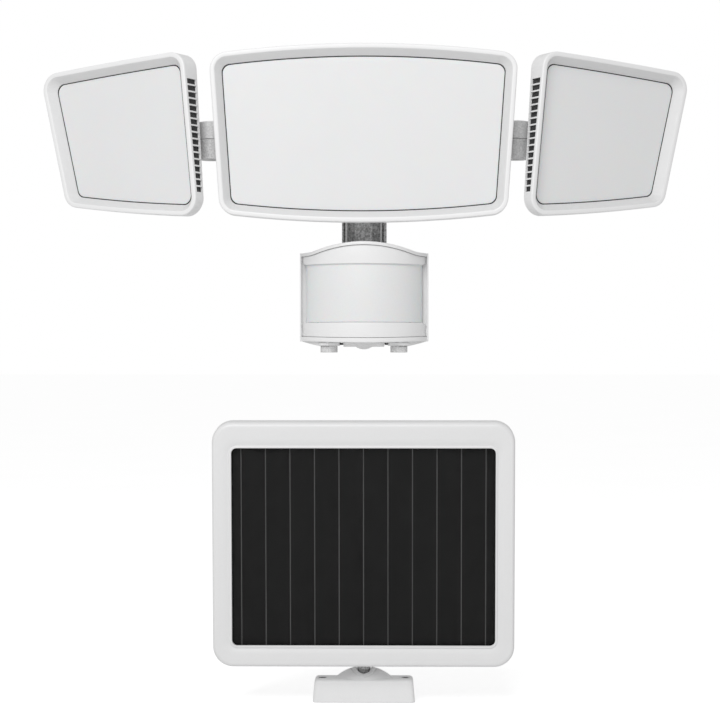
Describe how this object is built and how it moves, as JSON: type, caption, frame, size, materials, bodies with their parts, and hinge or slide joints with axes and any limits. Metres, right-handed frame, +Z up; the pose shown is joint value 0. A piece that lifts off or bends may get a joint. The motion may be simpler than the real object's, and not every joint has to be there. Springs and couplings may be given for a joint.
{
  "type": "solar flood light",
  "caption": "Wall flood light with a wide main head, adjustable side heads and a motion sensor, and its solar panel on a ball-joint foot.",
  "frame": {"origin": "middle of the wall plate's back face, on the wall", "axes": "+Z up, the light faces -Y, +Y goes into the wall, +X is to the right of someone facing the light"},
  "size_m": [0.4374, 0.1033, 0.4325],
  "materials": {
    "white_plastic": "white moulded ABS, satin, fine orange peel",
    "diffuser": "milky polycarbonate, fine frosted surface",
    "sensor_lens": "milky polyethylene",
    "grey_plastic": "mid grey moulded nylon, fine grain",
    "light_grey_plastic": "light grey moulded nylon, fine grain",
    "dark_grey": "dark grey moulded nylon, coarse grain",
    "black_plastic": "black moulded plastic",
    "rubber": "black silicone rubber",
    "steel": "zinc-plated steel",
    "aluminium": "pressed aluminium",
    "board": "green printed circuit board",
    "white_board": "white solder mask",
    "led": "yellow phosphor",
    "cell_wrap": "blue heat-shrink wrap",
    "panel_glass": "clear tempered glass",
    "solar_cell": "black thin film with scribed lines"
  },
  "bodies": {
    "base": {"wall_plate": "steel", "base_housing": "white_plastic", "base_seal": "rubber", "battery_cells": "cell_wrap", "battery_tray": "black_plastic", "controller_board": "board", "power_inlet": "black_plastic", "sensor_housing": "white_plastic", "pir_lens": "sensor_lens", "sensor_board": "board", "pir_detector": "steel", "sensor_controls": "black_plastic", "neck_arm": "dark_grey", "neck_bolt": "steel", "base_screws": "steel", "panel_base": "white_plastic", "panel_base_pad": "rubber"},
    "main_head": {"main_bezel": "white_plastic", "main_diffuser": "diffuser", "main_led_board": "white_board", "main_leds": "led", "main_heat_sink": "aluminium", "main_rear_cover": "white_plastic", "main_hinge": "grey_plastic", "main_screws": "steel", "left_bracket": "grey_plastic", "right_bracket": "grey_plastic"},
    "left_arm": {"left_link": "light_grey_plastic", "left_pan_pin": "white_plastic"},
    "right_arm": {"right_link": "light_grey_plastic", "right_pan_pin": "white_plastic"},
    "left_head": {"left_bezel": "white_plastic", "left_diffuser": "diffuser", "left_vent_screen": "black_plastic", "left_led_board": "white_board", "left_leds": "led", "left_heat_sink": "aluminium", "left_rear_cover": "white_plastic", "left_tilt_mount": "grey_plastic", "left_tilt_pin": "steel"},
    "right_head": {"right_bezel": "white_plastic", "right_diffuser": "diffuser", "right_vent_screen": "black_plastic", "right_led_board": "white_board", "right_leds": "led", "right_heat_sink": "aluminium", "right_rear_cover": "white_plastic", "right_tilt_mount": "grey_plastic", "right_tilt_pin": "steel"},
    "time_dial": {"time_knob": "light_grey_plastic"},
    "sensitivity_dial": {"sensitivity_knob": "light_grey_plastic"},
    "mode_push": {"mode_button": "white_plastic"},
    "seat": {"ball_seat": "white_plastic"},
    "panel": {"ball_stud": "dark_grey", "panel_frame": "white_plastic", "panel_glass": "panel_glass", "panel_cells": "solar_cell", "panel_back": "white_plastic", "panel_inlet": "black_plastic"}
  },
  "joints": [
    {"name": "head_tilt", "type": "hinge", "parent": "base", "child": "main_head", "pos_m": [0, -0.047, 0.075], "axis": [1, 0, 0], "range_deg": [-30, 12]},
    {"name": "left_pan", "type": "hinge", "parent": "main_head", "child": "left_arm", "pos_m": [-0.1009, -0.069, 0.104], "axis": [0, 0, 1], "range_deg": [-30, 20]},
    {"name": "right_pan", "type": "hinge", "parent": "main_head", "child": "right_arm", "pos_m": [0.1009, -0.069, 0.104], "axis": [0, 0, 1], "range_deg": [-20, 30]},
    {"name": "left_tilt", "type": "hinge", "parent": "left_arm", "child": "left_head", "pos_m": [-0.12286, -0.05451, 0.104], "axis": [0.8704, -0.4924, 0], "range_deg": [-12, 9]},
    {"name": "right_tilt", "type": "hinge", "parent": "right_arm", "child": "right_head", "pos_m": [0.12286, -0.05451, 0.104], "axis": [0.8704, 0.4924, 0], "range_deg": [-12, 9]},
    {"name": "time_turn", "type": "hinge", "parent": "base", "child": "time_dial", "pos_m": [-0.0232, -0.069, -0.036], "axis": [0, 0, 1], "range_deg": [-135, 135]},
    {"name": "sensitivity_turn", "type": "hinge", "parent": "base", "child": "sensitivity_dial", "pos_m": [0.0232, -0.069, -0.036], "axis": [0, 0, 1], "range_deg": [-135, 135]},
    {"name": "mode_press", "type": "slide", "parent": "base", "child": "mode_push", "axis": [0, 0, 1], "range_m": [0, 0.001], "stiffness_N_per_m": 600},
    {"name": "panel_swivel", "type": "hinge", "parent": "base", "child": "seat", "pos_m": [0, -0.068, -0.257], "axis": [0, 0, 1], "range_deg": [-60, 60]},
    {"name": "panel_tilt", "type": "hinge", "parent": "seat", "child": "panel", "pos_m": [0, -0.068, -0.257], "axis": [1, 0, 0], "range_deg": [-20, 20]}
  ]
}
